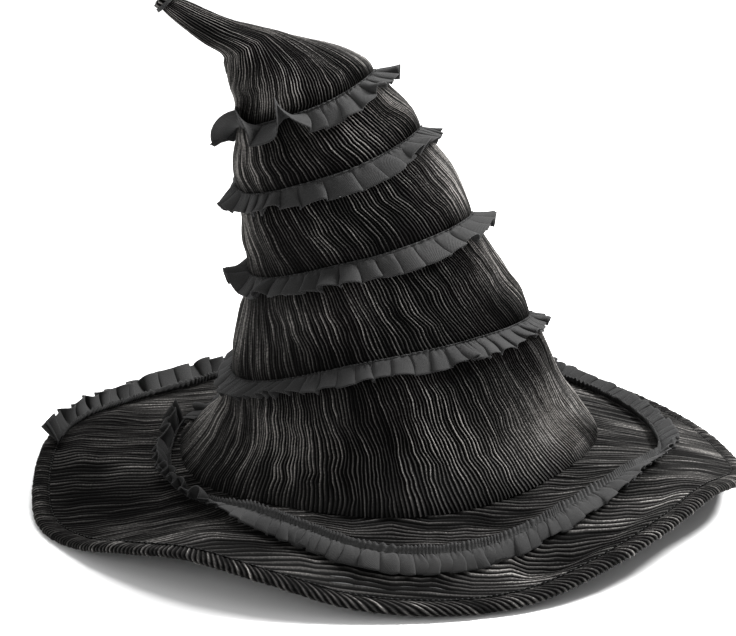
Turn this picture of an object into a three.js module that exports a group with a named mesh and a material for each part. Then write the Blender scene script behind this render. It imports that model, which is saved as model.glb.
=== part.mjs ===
// Witch hat: a wired, wavy brim, a leaning pleated crown wrapped by a spiral ruffle,
// and a bent peak that can be posed. Millimetres, +Z up, front at -Y.
import * as THREE from 'three';
import { mergeVertices } from 'three/addons/utils/BufferGeometryUtils.js';

// --- driving dimensions ------------------------------------------------------------------

// Crown rings from foot to tip: centre X, centre Z, radius, tilt in degrees (right side up).
const CROWN_RINGS = [
  [0, 28, 124, 3],
  [1, 52, 101, 4],
  [-3, 85, 89, 8],
  [-9, 113, 77, 10],
  [-16, 146, 67, 12],
  [-24, 172, 61, 13],
  [-34, 199, 55, 14],
  [-42, 220, 46, 15],
  [-50, 240, 38, 16],
  [-74, 257, 21, 27],
  [-83, 263, 14, 37],
  [-97, 269, 11, 44],
  [-108, 275, 9.5, 44],
  [-118, 281, 8, 44],
  [-128, 287, 5.5, 44],
];

// Brim edge: angle in degrees from +X, radius, height.
const BRIM_EDGE = [
  [0, 206, 12],
  [15, 206, 6],
  [35, 206, 5],
  [60, 206, 9],
  [90, 206, 11],
  [115, 204, 8],
  [135, 202, 5],
  [150, 204, 8],
  [165, 206, 14],
  [180, 206, 17],
  [192, 210, 10],
  [203, 214, 5],
  [213, 211, 7],
  [225, 207, 17],
  [238, 205, 25],
  [252, 205, 20],
  [265, 205, 10],
  [280, 205, 6],
  [292, 205, 8],
  [305, 205, 18],
  [318, 206, 28],
  [330, 208, 33],
  [343, 212, 24],
];
const BRIM_NOMINAL_RADIUS = 206;
const HEAD_OPENING_RADIUS = 97;
const HEAD_OPENING_Z = 26;
const HEAD_OPENING_TILT = 3;
const BRIM_SEGMENTS = 60;
const CROWN_SEGMENTS = 28;
const CROWN_GORES = 14;

// Ruffle seam on the crown, as a height along CROWN_RINGS at every quarter turn.
// It starts at the left foot and climbs clockwise: left, back, right, front, left, ...
const CROWN_SEAM = [
  0, 1.0, 2.15, 2.6,
  1.95, 3.1, 4.1, 4.28,
  4.0, 5.0, 6.05, 5.98,
  5.82, 6.9, 7.75, 7.6,
  7.3, 7.4,
];
// Ruffle seam on the brim, as a share of the brim's width at every eighth of a turn.
// It starts at the left edge and comes in clockwise to the crown's left foot.
const BRIM_SEAM = [0.9, 0.82, 0.74, 0.6, 0.56, 0.56, 0.64, 0.39, 0.28];
const QUARTERS = 4;
const EIGHTHS = 8;
const CROWN_RUFFLE_TURNS = 4;
const CROWN_RUFFLE_END = 4.125;
const BRIM_RUFFLE_PIECES = 3;
const RUFFLE_DROP = 13;
const RUFFLE_THICKNESS = 1.2;
const RUFFLE_STAND = 1.2;
const RUFFLE_FOLD = 4;
const RUFFLE_LEAN = 2;
// The back of the brim's ruffle stands up, most of all at this angle.
const STANDING_ANGLE = THREE.MathUtils.degToRad(145);
const STANDING_LIFT = 7;
const RUFFLE_STEPS_PER_TURN = 36;
const BRIM_RUFFLE_STEPS_PER_TURN = 42;

// Cloth and board thicknesses, and the gap kept between layers.
const GAP = 0.4;
const COVER = 1.4;
const BOARD_HALF = 0.8;
const LAYER_GAP = 0.85;
const PLEAT_ROOM = 2;
const BRIM_TOP = BOARD_HALF + LAYER_GAP + COVER;
const STIFFENER = 1.5;
const GORE_GAP = 0.15;
const LINING = 0.8;
const HEM_WIDTH = 11;
const BAND_THICKNESS = 1.6;
const BAND_HEIGHT = 22;
const BAND_BOTTOM = 19;
const BAND_RADIUS = 90.5;
const LINING_RADIUS = BAND_RADIUS + BAND_THICKNESS + 2.3;
const WIRE_RADIUS = 0.45;
const FERRULE_INNER = 0.95;
const FERRULE_OUTER = 1.35;
const FERRULE_LENGTH = 10;
const WIRE_INSET = 4.2;
const BOARD_INSIDE_WIRE = 1.8;
const PEAK_WIRE_RADIUS = 0.8;

// Heights along CROWN_RINGS where the crown's pieces end.
const STIFFENER_TOP = 8.75;
const LINING_TOP = 8.0;
const LINING_CAP = 0.04;
const SEAM_GAP = 0.02;
const LOWEST_FOLD = 0.12;
const TIER_TOP = 8.8;
const BEND_TOP = 9.8;
const PEAK_BOTTOM = 9.86;
const PEAK_TOP = 13.7;
const LAST_RING = CROWN_RINGS.length - 1;

// --- colours -----------------------------------------------------------------------------

const PLEATED_BLACK = 0x1c1c1d;
const TWILL_BLACK = 0x2f2f31;
const LINING_BLACK = 0x151516;
const BOARD_GREY = 0x3a3a3c;
const STEEL = 0x9a9da0;
const LABEL_WHITE = 0xd8d5cc;

// --- curves and surfaces -----------------------------------------------------------------

function catmull(a, b, c, d, u) {
  const linear = (c - a) * u;
  const square = (2 * a - 5 * b + 4 * c - d) * u * u;
  const cube = (3 * b - a - 3 * c + d) * u ** 3;
  return 0.5 * (2 * b + linear + square + cube);
}

function along(rows, place) {
  const last = rows.length - 1;
  const clamped = Math.min(Math.max(place, 0), last - 1e-9);
  const start = Math.floor(clamped);
  const near = [start - 1, start, start + 1, start + 2].map((i) => rows[Math.min(Math.max(i, 0), last)]);
  return rows[0].map((_, k) => catmull(near[0][k], near[1][k], near[2][k], near[3][k], clamped - start));
}

function brimEdge(angle) {
  const degrees = THREE.MathUtils.euclideanModulo(THREE.MathUtils.radToDeg(angle), 360);
  const count = BRIM_EDGE.length;
  const start = BRIM_EDGE.findLastIndex((row) => row[0] <= degrees + 1e-9);
  const next = start === count - 1 ? 360 : BRIM_EDGE[start + 1][0];
  const u = (degrees - BRIM_EDGE[start][0]) / (next - BRIM_EDGE[start][0]);
  const near = [-1, 0, 1, 2].map((k) => BRIM_EDGE[(start + k + count) % count]);
  return [1, 2].map((k) => catmull(near[0][k], near[1][k], near[2][k], near[3][k], u));
}

// A point on the brim: share runs from the head opening (0) to the edge (1).
function brimPoint(angle, share, lift) {
  const [edgeRadius, edgeZ] = brimEdge(angle);
  const radius = HEAD_OPENING_RADIUS + (edgeRadius - HEAD_OPENING_RADIUS) * share;
  const slope = 0.5 * share + 0.5 * share * share * (3 - 2 * share);
  const tilt = Math.tan(THREE.MathUtils.degToRad(HEAD_OPENING_TILT));
  const innerZ = HEAD_OPENING_Z + radius * Math.cos(angle) * tilt;
  const z = innerZ + (edgeZ - innerZ) * slope + lift;
  return new THREE.Vector3(radius * Math.cos(angle), radius * Math.sin(angle), z);
}

// A point in the crown's bent frame: x and y across the ring, height along CROWN_RINGS.
// Between the first two rings the crown's foot settles onto the wavy brim.
function crownFrame(x, y, height) {
  const [centreX, centreZ, , tilt] = along(CROWN_RINGS, height);
  const a = THREE.MathUtils.degToRad(tilt);
  const point = new THREE.Vector3(centreX + x * Math.cos(a), y, centreZ + x * Math.sin(a));
  const settle = Math.max(1 - height, 0) ** 2;
  if (settle > 0) {
    const foot = onBrim(new THREE.Vector3(point.x, point.y, BRIM_TOP + GAP));
    const [footX, footZ, , footTilt] = CROWN_RINGS[0];
    const ringZ = footZ + (point.x - footX) * Math.tan(THREE.MathUtils.degToRad(footTilt));
    point.z += (foot.z - ringZ) * settle;
  }
  return point;
}

function crownRadius(height) {
  return along(CROWN_RINGS, height)[2];
}

function crownPoint(angle, height, offset) {
  const radius = crownRadius(height) + offset;
  return crownFrame(radius * Math.cos(angle), radius * Math.sin(angle), height);
}

// Turns run clockwise seen from above, and turn 0 is at the left.
function turnAngle(turn) {
  return Math.PI * (1 - 2 * turn);
}

function crownSeam(turn) {
  return along(CROWN_SEAM.map((height) => [height]), turn * QUARTERS)[0];
}

function brimSeam(turn) {
  return along(BRIM_SEAM.map((share) => [share]), (turn + 1) * EIGHTHS)[0];
}

// --- geometry helpers --------------------------------------------------------------------

function warp(geometry, place) {
  const bare = geometry.clone();
  bare.deleteAttribute('normal');
  bare.deleteAttribute('uv');
  const merged = mergeVertices(bare, 1e-5);
  const position = merged.attributes.position;
  const point = new THREE.Vector3();
  for (let i = 0; i < position.count; i += 1) {
    point.fromBufferAttribute(position, i);
    const moved = place(point);
    position.setXYZ(i, moved.x, moved.y, moved.z);
  }
  return faceOutwards(merged);
}

function faceOutwards(geometry) {
  const { position } = geometry.attributes;
  const { array } = geometry.index;
  const corners = [new THREE.Vector3(), new THREE.Vector3(), new THREE.Vector3()];
  let volume = 0;
  for (let i = 0; i < array.length; i += 3) {
    corners.forEach((corner, k) => corner.fromBufferAttribute(position, array[i + k]));
    volume += corners[0].dot(corners[1].clone().cross(corners[2]));
  }
  if (volume < 0) {
    for (let i = 0; i < array.length; i += 3) {
      [array[i], array[i + 1]] = [array[i + 1], array[i]];
    }
  }
  geometry.computeVertexNormals();
  return geometry;
}

// A straight body of revolution about Z. Each profile row is a radius and a height.
function turned(profile, segments) {
  const points = profile.map(([radius, height]) => new THREE.Vector2(radius, height));
  return new THREE.LatheGeometry(points, segments).rotateX(Math.PI / 2);
}

function closedProfile(rows) {
  return [...rows, rows[0]];
}

// Heights from bottom to top with every ring of the crown between them, and quarters at the foot.
function ringHeights(bottom, top) {
  const quarters = [0.25, 0.5, 0.75].filter((height) => height > bottom);
  const first = Math.floor(bottom) + 1;
  const rings = Array.from({ length: Math.ceil(top) - first }, (_, i) => first + i);
  return [bottom, ...quarters, ...rings, top];
}

// A wall between two offsets from the crown's surface, from one height to another.
function wallProfile(bottom, top, inner, outer) {
  const heights = ringHeights(bottom, top);
  const outside = heights.map((height) => [crownRadius(height) + outer, height]);
  const inside = heights.map((height) => [crownRadius(height) + inner, height]).reverse();
  return closedProfile([...outside, ...inside]);
}

function onCrown(point) {
  return crownFrame(point.x, -point.y, point.z);
}

function onBrim(point) {
  const angle = Math.atan2(point.y, point.x);
  const radius = Math.hypot(point.x, point.y);
  const share = (radius - HEAD_OPENING_RADIUS) / (BRIM_NOMINAL_RADIUS - HEAD_OPENING_RADIUS);
  return brimPoint(angle, share, point.z);
}

// Splits the back face's squares along the same diagonals as the front face's, so that a
// twisted strip keeps its thickness.
function matchDiagonals(box) {
  const { start, count } = box.groups[5];
  const { array } = box.index;
  for (let i = start; i < start + count; i += 6) {
    const [a, b, d, , c] = array.slice(i, i + 6);
    array.set([a, b, c, a, c, d], i);
  }
  return box;
}

// A strip whose box axes become: x along the strip, y across it, z through its thickness.
function strip(along01, across01, place) {
  const box = matchDiagonals(new THREE.BoxGeometry(1, 1, 1, along01, across01, 1));
  return warp(box, (p) => place(p.x + 0.5, p.y + 0.5, p.z + 0.5));
}

function part(name, geometry, colour, roughness, metalness = 0) {
  const mesh = new THREE.Mesh(geometry, new THREE.MeshStandardMaterial({ color: colour, roughness, metalness }));
  mesh.name = name;
  return mesh;
}

// --- brim --------------------------------------------------------------------------------

function brimLayer(name, extraRadii, low, high, colour) {
  const inner = HEAD_OPENING_RADIUS;
  const outer = BRIM_NOMINAL_RADIUS - HEM_WIDTH - GAP;
  const even = Array.from({ length: 4 }, (_, i) => inner + ((outer - inner) * i) / 3);
  const radii = [...even, ...extraRadii];
  const profile = closedProfile([
    ...radii.map((radius) => [radius, high]),
    ...radii.map((radius) => [radius, low]).reverse(),
  ]);
  return part(name, warp(turned(profile, BRIM_SEGMENTS), onBrim), colour, 0.9);
}

function brimHem() {
  const edge = BRIM_NOMINAL_RADIUS;
  const high = BRIM_TOP;
  const low = BRIM_TOP - COVER;
  const inner = edge - HEM_WIDTH;
  const profile = closedProfile([
    [inner, high],
    [edge - 2, high],
    [edge - 0.5, high * 0.6],
    [edge - 0.5, -high * 0.6],
    [edge - 2, -high],
    [inner, -high],
    [inner, -low],
    [edge - 2.4, -low],
    [edge - 2.4, low],
    [inner, low],
  ]);
  return part('brim_hem', warp(turned(profile, BRIM_SEGMENTS), onBrim), PLEATED_BLACK, 0.85);
}

function circleShape(radius, sides) {
  const corners = Array.from({ length: sides }, (_, i) => {
    const angle = (2 * Math.PI * i) / sides;
    return new THREE.Vector2(radius * Math.cos(angle), radius * Math.sin(angle));
  });
  return new THREE.Shape(corners);
}

// Spring wire in the hem: an open loop whose two ends meet inside the ferrule at the back.
function brimWire(radius) {
  const gapAngle = 0.6 / radius;
  const arc = new THREE.Curve();
  arc.getPoint = (u, target = new THREE.Vector3()) => {
    const angle = Math.PI / 2 + gapAngle + u * (2 * Math.PI - 2 * gapAngle);
    return target.set(radius * Math.cos(angle), radius * Math.sin(angle), 0);
  };
  const options = { extrudePath: arc, steps: BRIM_SEGMENTS, bevelEnabled: false };
  const wire = new THREE.ExtrudeGeometry(circleShape(WIRE_RADIUS, 6), options);
  return part('brim_wire', warp(wire, onBrim), STEEL, 0.35, 1);
}

function wireFerrule(radius) {
  const half = FERRULE_LENGTH / 2;
  const profile = closedProfile([
    [FERRULE_OUTER, -half],
    [FERRULE_OUTER, half],
    [FERRULE_INNER, half],
    [FERRULE_INNER, -half],
  ]);
  const tube = turned(profile, 8).rotateY(Math.PI / 2).translate(0, radius, 0);
  return part('wire_ferrule', warp(tube, onBrim), STEEL, 0.4, 1);
}

function brimParts() {
  const wireRadius = BRIM_NOMINAL_RADIUS - WIRE_INSET;
  return [
    brimLayer('brim_top_cover', [], BRIM_TOP - COVER, BRIM_TOP, PLEATED_BLACK),
    brimLayer('brim_board', [wireRadius - BOARD_INSIDE_WIRE], -BOARD_HALF, BOARD_HALF, BOARD_GREY),
    brimLayer('brim_under_cover', [], -BRIM_TOP, COVER - BRIM_TOP, PLEATED_BLACK),
    brimHem(),
    brimWire(wireRadius),
    wireFerrule(wireRadius),
  ];
}

// --- head opening ------------------------------------------------------------------------

function sweatband() {
  const profile = closedProfile([
    [BAND_RADIUS, BAND_BOTTOM],
    [BAND_RADIUS + BAND_THICKNESS, BAND_BOTTOM],
    [BAND_RADIUS + BAND_THICKNESS, BAND_BOTTOM + BAND_HEIGHT],
    [BAND_RADIUS, BAND_BOTTOM + BAND_HEIGHT],
  ]);
  const ring = turned(profile, CROWN_SEGMENTS);
  return part('sweatband', warp(ring, (p) => p.clone()), LINING_BLACK, 0.8);
}

function sweatbandBow() {
  const loop = 13;
  const knot = 2.5;
  const bow = new THREE.Shape();
  bow.moveTo(-knot, 0);
  bow.quadraticCurveTo(-loop * 0.6, loop * 0.6, -loop, loop * 0.35);
  bow.quadraticCurveTo(-loop * 0.8, 0, -loop, -loop * 0.35);
  bow.quadraticCurveTo(-loop * 0.6, -loop * 0.3, -knot, -knot);
  bow.lineTo(knot, -knot);
  bow.quadraticCurveTo(loop * 0.6, -loop * 0.3, loop, -loop * 0.35);
  bow.quadraticCurveTo(loop * 0.8, 0, loop, loop * 0.35);
  bow.quadraticCurveTo(loop * 0.6, loop * 0.6, knot, 0);
  const thickness = 1.4;
  const solid = new THREE.ExtrudeGeometry(bow, { depth: thickness, bevelEnabled: false, curveSegments: 4 });
  solid.rotateX(Math.PI / 2);
  const apothem = BAND_RADIUS * Math.cos(Math.PI / CROWN_SEGMENTS);
  solid.translate(0, apothem - 1.6, BAND_BOTTOM + BAND_HEIGHT - 8);
  return part('sweatband_bow', warp(solid, (p) => p.clone()), TWILL_BLACK, 0.7);
}

function sizeLabel() {
  const label = new THREE.BoxGeometry(22, 0.5, 14);
  const apothem = BAND_RADIUS * Math.cos(Math.PI / CROWN_SEGMENTS);
  label.translate(0, apothem - 1.2, BAND_BOTTOM + BAND_HEIGHT / 2);
  label.rotateZ(-Math.PI / 6);
  return part('size_label', warp(label, (p) => p.clone()), LABEL_WHITE, 0.8);
}

// --- crown -------------------------------------------------------------------------------

// One gore of the stiff cone that holds the crown up.
function crownStiffener(number) {
  const heights = ringHeights(0, STIFFENER_TOP);
  const rows = heights.length - 1;
  const inner = -COVER - PLEAT_ROOM - STIFFENER;
  const gore = (2 * Math.PI) / CROWN_GORES;
  return part(`crown_stiffener_${number}`, strip(CROWN_SEGMENTS / CROWN_GORES, rows, (u, v, w) => {
    const height = heights[Math.round(v * rows)];
    const seam = GORE_GAP / crownRadius(height);
    const angle = (number - 1) * gore + seam + (gore - 2 * seam) * u;
    return crownPoint(angle, height, inner + w * STIFFENER);
  }), BOARD_GREY, 0.95);
}

// A closed cap of thin cloth: it hangs straight into the head opening and follows the crown above.
function crownLining() {
  const offset = -COVER - PLEAT_ROOM - STIFFENER - LAYER_GAP;
  const heights = ringHeights(0, LINING_TOP);
  const last = heights.length - 1;
  const outside = heights.map((h) => [Math.min(crownRadius(h) + offset, LINING_RADIUS + LINING), h]);
  const inside = outside.map(([radius, h], i) => [radius - LINING, i === last ? h - LINING_CAP : h]);
  const profile = [[0, LINING_TOP], ...outside.reverse(), ...inside, [0, LINING_TOP - LINING_CAP]];
  return part('crown_lining', warp(turned(profile, CROWN_SEGMENTS), onCrown), LINING_BLACK, 0.6);
}

// One tier of the pleated cover: a band one turn long between two turns of the ruffle seam.
function crownTier(number, turns) {
  const start = number === 1 ? 2 / CROWN_SEGMENTS : number - 1;
  const end = number - 0.5 / CROWN_SEGMENTS;
  const steps = Math.round((end - start) * CROWN_SEGMENTS);
  return part(`crown_tier_${number}`, strip(steps, 4, (u, v, w) => {
    const turn = start + (end - start) * u;
    const low = turn < 1 ? 0 : crownSeam(turn - 1) + SEAM_GAP;
    const high = number > turns ? TIER_TOP : crownSeam(turn) - SEAM_GAP;
    return crownPoint(turnAngle(turn), low + (high - low) * v ** 1.5, (w - 1) * COVER);
  }), PLEATED_BLACK, 0.85);
}

// Millimetres of wall for one unit of height.
function wallLength(angle, height) {
  const half = 0.05;
  return crownPoint(angle, height + half, 0).distanceTo(crownPoint(angle, height - half, 0)) / (2 * half);
}

// The ruffle hangs from its seam: zigzag folds open towards its free edge.
function fold(step) {
  return step % 2 === 0 ? 1 : 0;
}

function crownRuffle(number, start, end) {
  const steps = Math.round((end - start) * RUFFLE_STEPS_PER_TURN);
  return part(`crown_ruffle_${number}`, strip(steps, 1, (u, v, w) => {
    const turn = start + (end - start) * u;
    const angle = turnAngle(turn);
    const heading = crownSeam(turn) + 3 * SEAM_GAP;
    const drop = ((1 - v) * RUFFLE_DROP) / wallLength(angle, heading);
    const stand = RUFFLE_STAND + (1 - v) * (RUFFLE_LEAN + RUFFLE_FOLD * fold(Math.round(u * steps)));
    return crownPoint(angle, Math.max(heading - drop, LOWEST_FOLD), stand + w * RUFFLE_THICKNESS);
  }), TWILL_BLACK, 0.8);
}

function brimRuffle(number, start, end) {
  const steps = Math.round((end - start) * BRIM_RUFFLE_STEPS_PER_TURN);
  return part(`brim_ruffle_${number}`, strip(steps, 1, (u, v, w) => {
    const turn = start + (end - start) * u;
    const angle = turnAngle(turn);
    const standing = Math.max(Math.cos(angle - STANDING_ANGLE), 0);
    const reach = (RUFFLE_DROP * (1 - 0.5 * standing)) / (BRIM_NOMINAL_RADIUS - HEAD_OPENING_RADIUS);
    const rise = STANDING_LIFT * standing + RUFFLE_FOLD * fold(Math.round(u * steps));
    const lift = BRIM_TOP + RUFFLE_STAND + v * rise + w * RUFFLE_THICKNESS;
    return brimPoint(angle, brimSeam(turn) + v * reach, lift);
  }), TWILL_BLACK, 0.8);
}

function ruffleParts() {
  const joint = 0.3 / RUFFLE_STEPS_PER_TURN;
  const brimPieces = Array.from({ length: BRIM_RUFFLE_PIECES }, (_, i) => {
    const start = -1 + i / BRIM_RUFFLE_PIECES;
    return brimRuffle(i + 1, start, start + 1 / BRIM_RUFFLE_PIECES - joint);
  });
  const crownPieces = Array.from({ length: CROWN_RUFFLE_TURNS }, (_, i) => {
    const start = i === 0 ? 2 / RUFFLE_STEPS_PER_TURN : i;
    const end = i === CROWN_RUFFLE_TURNS - 1 ? CROWN_RUFFLE_END : i + 1 - joint;
    return crownRuffle(i + 1, start, end);
  });
  return [...brimPieces, ...crownPieces];
}

function crownParts() {
  const tiers = Array.from({ length: CROWN_RUFFLE_TURNS + 1 }, (_, i) => crownTier(i + 1, CROWN_RUFFLE_TURNS));
  const gores = Array.from({ length: CROWN_GORES }, (_, i) => crownStiffener(i + 1));
  return [...gores, crownLining(), ...tiers];
}

// --- peak --------------------------------------------------------------------------------

// The stretch of cover that creases when the peak is posed.
function bendCover() {
  const profile = wallProfile(TIER_TOP + 0.05, BEND_TOP, -COVER, 0);
  return part('bend_cover', warp(turned(profile, 24), onCrown), PLEATED_BLACK, 0.85);
}

function peakCover() {
  const profile = wallProfile(PEAK_BOTTOM, PEAK_TOP, -COVER, 0);
  return part('peak_cover', warp(turned(profile, 16), onCrown), PLEATED_BLACK, 0.85);
}

// Soft wire along the middle of the peak that holds its bend.
function peakWire() {
  const bottom = LINING_TOP + 0.3;
  const steps = 8;
  const heights = Array.from({ length: steps + 1 }, (_, i) => bottom + ((PEAK_TOP - 0.6 - bottom) * i) / steps);
  const profile = [
    [0, heights[0]],
    ...heights.map((height) => [PEAK_WIRE_RADIUS, height]),
    [0, heights[steps]],
  ];
  return part('peak_wire', warp(turned(profile, 6), onCrown), STEEL, 0.4, 1);
}

// Thread bound round the gathered end of the peak.
function peakTie() {
  const radius = crownRadius(PEAK_TOP);
  const low = PEAK_TOP - 0.16;
  const high = PEAK_TOP - 0.02;
  const profile = closedProfile([
    [radius + GAP + 0.4, low],
    [radius + GAP + 1.3, (low + high) / 2],
    [radius + GAP + 0.4, high],
  ]);
  return part('peak_tie', warp(turned(profile, 12), onCrown), TWILL_BLACK, 0.7);
}

function peakGather() {
  const radius = crownRadius(PEAK_TOP);
  const profile = [
    [0, PEAK_TOP + 0.05],
    [radius * 0.85, PEAK_TOP + 0.05],
    [radius, PEAK_TOP + 0.16],
    [radius * 0.7, LAST_RING - 0.01],
    [0, LAST_RING - 0.01],
  ];
  return part('peak_gather', warp(turned(profile, 10), onCrown), PLEATED_BLACK, 0.85);
}

// --- assembly ----------------------------------------------------------------------------

const hat = new THREE.Group();
hat.add(...brimParts());
hat.add(sweatband(), sweatbandBow(), sizeLabel());
hat.add(...crownParts());
hat.add(bendCover(), peakCover(), peakWire(), peakTie(), peakGather());
hat.add(...ruffleParts());

// The origin is the middle of the hat's box, on the surface it stands on.
const box = new THREE.Box3().setFromObject(hat);
const centre = box.getCenter(new THREE.Vector3());
hat.position.set(-centre.x, -centre.y, -box.min.z);
hat.updateMatrixWorld(true);

export default hat;
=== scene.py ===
"""Witch hat: the looks of a pleated costume hat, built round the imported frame.

Shapes are worked out in millimetres in the hat's design frame, where the crown's foot is
centred on X = Y = 0, and are moved into the row frame as each mesh is made.
"""

import math

import bpy
import numpy as np
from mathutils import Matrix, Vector


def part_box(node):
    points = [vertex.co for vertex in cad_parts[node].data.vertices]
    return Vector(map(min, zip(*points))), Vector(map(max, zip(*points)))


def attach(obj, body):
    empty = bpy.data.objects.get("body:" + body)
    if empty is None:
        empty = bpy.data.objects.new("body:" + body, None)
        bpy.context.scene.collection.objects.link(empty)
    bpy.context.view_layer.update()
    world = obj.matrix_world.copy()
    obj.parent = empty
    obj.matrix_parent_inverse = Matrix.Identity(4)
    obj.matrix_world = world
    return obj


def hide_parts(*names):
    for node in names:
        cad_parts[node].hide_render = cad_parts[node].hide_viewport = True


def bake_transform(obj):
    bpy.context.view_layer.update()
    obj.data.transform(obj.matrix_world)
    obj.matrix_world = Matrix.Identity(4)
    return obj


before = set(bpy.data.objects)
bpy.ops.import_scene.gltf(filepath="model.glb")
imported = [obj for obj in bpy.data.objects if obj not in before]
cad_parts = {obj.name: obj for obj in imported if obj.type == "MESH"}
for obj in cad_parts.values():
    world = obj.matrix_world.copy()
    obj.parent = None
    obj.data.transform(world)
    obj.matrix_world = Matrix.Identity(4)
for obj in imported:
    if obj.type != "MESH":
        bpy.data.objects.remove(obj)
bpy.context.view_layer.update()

# --- driving dimensions, in millimetres and degrees ---------------------------------------

MM = 0.001
FULL_TURN = 2 * math.pi

# Crown rings from foot to tip: centre X, centre Z, radius, tilt (right side up).
CROWN_RINGS = np.array([
    [0, 28, 124, 3],
    [1, 52, 101, 4],
    [-3, 85, 89, 8],
    [-9, 113, 77, 10],
    [-16, 146, 67, 12],
    [-24, 172, 61, 13],
    [-34, 199, 55, 14],
    [-42, 220, 46, 15],
    [-50, 240, 38, 16],
    [-74, 257, 21, 27],
    [-83, 263, 14, 37],
    [-97, 269, 11, 44],
    [-108, 275, 9.5, 44],
    [-118, 281, 8, 44],
    [-128, 287, 5.5, 44],
], float)

# Brim edge: angle from +X, radius, height.
BRIM_EDGE = np.array([
    [0, 206, 12],
    [15, 206, 6],
    [35, 206, 5],
    [60, 206, 9],
    [90, 206, 11],
    [115, 204, 8],
    [135, 202, 5],
    [150, 204, 8],
    [165, 206, 14],
    [180, 206, 17],
    [192, 210, 10],
    [203, 214, 5],
    [213, 211, 7],
    [225, 207, 17],
    [238, 205, 25],
    [252, 205, 20],
    [265, 205, 10],
    [280, 205, 6],
    [292, 205, 8],
    [305, 205, 18],
    [318, 206, 28],
    [330, 208, 33],
    [343, 212, 24],
], float)
BRIM_RADIUS = 206
HEAD_OPENING_RADIUS = 97
HEAD_OPENING_Z = 26
HEAD_OPENING_SLOPE = math.tan(math.radians(3))
HEM_INNER = 195.4

# Ruffle seam: height on the crown per quarter turn from turn 0, and share of the brim's width
# per eighth of a turn from turn -1. Turns run clockwise from the left.
CROWN_SEAM = [
    0, 1.0, 2.15, 2.6,
    1.95, 3.1, 4.1, 4.28,
    4.0, 5.0, 6.05, 5.98,
    5.82, 6.9, 7.75, 7.6,
    7.3, 7.4,
]
BRIM_SEAM = [0.9, 0.82, 0.74, 0.6, 0.56, 0.56, 0.64, 0.39, 0.28]
CROWN_TURNS = 4
RUFFLE_END = 4.125

# Heights on the crown: where the peak's bend starts, the wire's top, and the tip's
# thread and gathers.
BEND_START = 8.45
WIRE_TOP = 13.1
THREAD_START = 13.48
GATHER_START = 13.55

# The cover's pleats: steps across one pleat, pitch, height, and rows of points.
PLEAT_STEPS = [0, 0.14, 0.32, 0.5, 0.68, 0.86]
CROWN_PITCH = 2.0
CROWN_PLEAT_HEIGHT = 1.9
LEAST_PITCH = 1.4
PEAK_PLEATS = 142
CROWN_ROWS = 46
PEAK_ROWS = 112
PEAK_COVER_TOP = 13.8
BRIM_STEPS = [0, 0.2, 0.38, 0.5, 0.62, 0.8]
BRIM_PITCH = 3.3
BRIM_PLEAT_HEIGHT = 2.1
BRIM_COLUMNS = 150
BRIM_TOP = 3.05
HEM_PITCH = 2.5

# How far the pleats lean, as a share of 45 degrees, below the top seam and above it, up to a
# height; and the share of the peak cover's rows that lies below the bend.
SLANT = 0.36
PEAK_SLANT = -0.5
LAST_LEAN = 9.6
PEAK_LOWER_SHARE = 0.35

# Where painted light makes the crown's foot paler on its right flank, which faces the key light: turn and
# height, spread, and share.
LIT_FLANK_TURN = [(0.57, 0.08, 0.8)]
LIT_FLANK_HEIGHT = [(0.9, 0.75, 1.0)]

# The ruffle: the turns where it starts on the crown and comes loose at the end, and the places
# where it has flipped up or stands in loops, as turn, spread, and degrees or share.
RUFFLE_START = 0.045
LOOSE_FROM = 3.74
FLIPS = [(3.79, 0.022, 150), (3.92, 0.05, 165)]
LOOPS = [(1.99, 0.03, 0.8), (2.99, 0.02, 0.3)]
CLOTH_THICKNESS = 0.6
HEADING_LIFT = 0.9
FRONT_RIDGE = 6.5
HEADER_ANGLE = math.radians(60)
FOLD_COLUMNS = 18

# The ruffle's flat cloth: length in one fold, and width.
RUFFLE_FOLD_CLOTH = 16.0
RUFFLE_CLOTH_WIDTH = 14

# Head opening.
BAND_RADIUS = 90.5
BAND_BOTTOM = 19
BAND_TOP = 41
BAND_SEAM_RADIUS = 101
LINING_RADIUS = 94.4
LINING_TOP = 8.0
LABEL_HALF_WIDTH = 11
LABEL_HALF_HEIGHT = 7

# Uneven cloth: rows of height, length in each of two directions, and seed.
PLEAT_STRENGTH = [(0.26, 1, 22, 11)]
CROWN_STRENGTH = [(0.16, 14, 40, 12)]
CROWN_KINKS = [(1.5, 9, 8, 13), (0.55, 5, 2.2, 14)]
CROWN_LEAN = [(0.7, 9, 30, 15)]
CROWN_DENTS = [(1.9, 30, 34, 16), (0.9, 12, 15, 17)]
CROWN_BULGES = [(2.4, 26, 17, 18)]
BRIM_KINKS = [(3.4, 21, 60, 0), (1.3, 8, 15, 1)]
BRIM_SWING = [(9, 110, 90, 2)]
BRIM_STRENGTH = [(0.2, 24, 1, 3)]
BRIM_WORN = [(1.6, 48, 30, 4)]
BRIM_SWELL = [(0.9, 45, 45, 5), (0.5, 16, 18, 6)]
NOISE_CELLS = 128

# The design frame's origin in the row frame, from the sweatband, which is centred on it.
BAND_LOW, BAND_HIGH = (np.array(corner, float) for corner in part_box("sweatband"))
ORIGIN = (BAND_LOW + BAND_HIGH) / 2 / MM
ORIGIN[2] = BAND_LOW[2] / MM - BAND_BOTTOM


# --- curves and surfaces ------------------------------------------------------------------

def catmull(a, b, c, d, u):
    linear = (c - a) * u
    square = (2 * a - 5 * b + 4 * c - d) * u * u
    cube = (3 * b - a - 3 * c + d) * u ** 3
    return 0.5 * (2 * b + linear + square + cube)


def along(values, place):
    """A smooth curve through evenly spaced values, held at both ends."""
    values = np.asarray(values, float)
    last = len(values) - 1
    place = np.clip(place, 0, last - 1e-9)
    start = np.floor(place).astype(int)
    near = [values[np.clip(start + k, 0, last)] for k in (-1, 0, 1, 2)]
    return catmull(*near, place - start)


def stacked(*values):
    return np.stack(np.broadcast_arrays(*values), -1)


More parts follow.
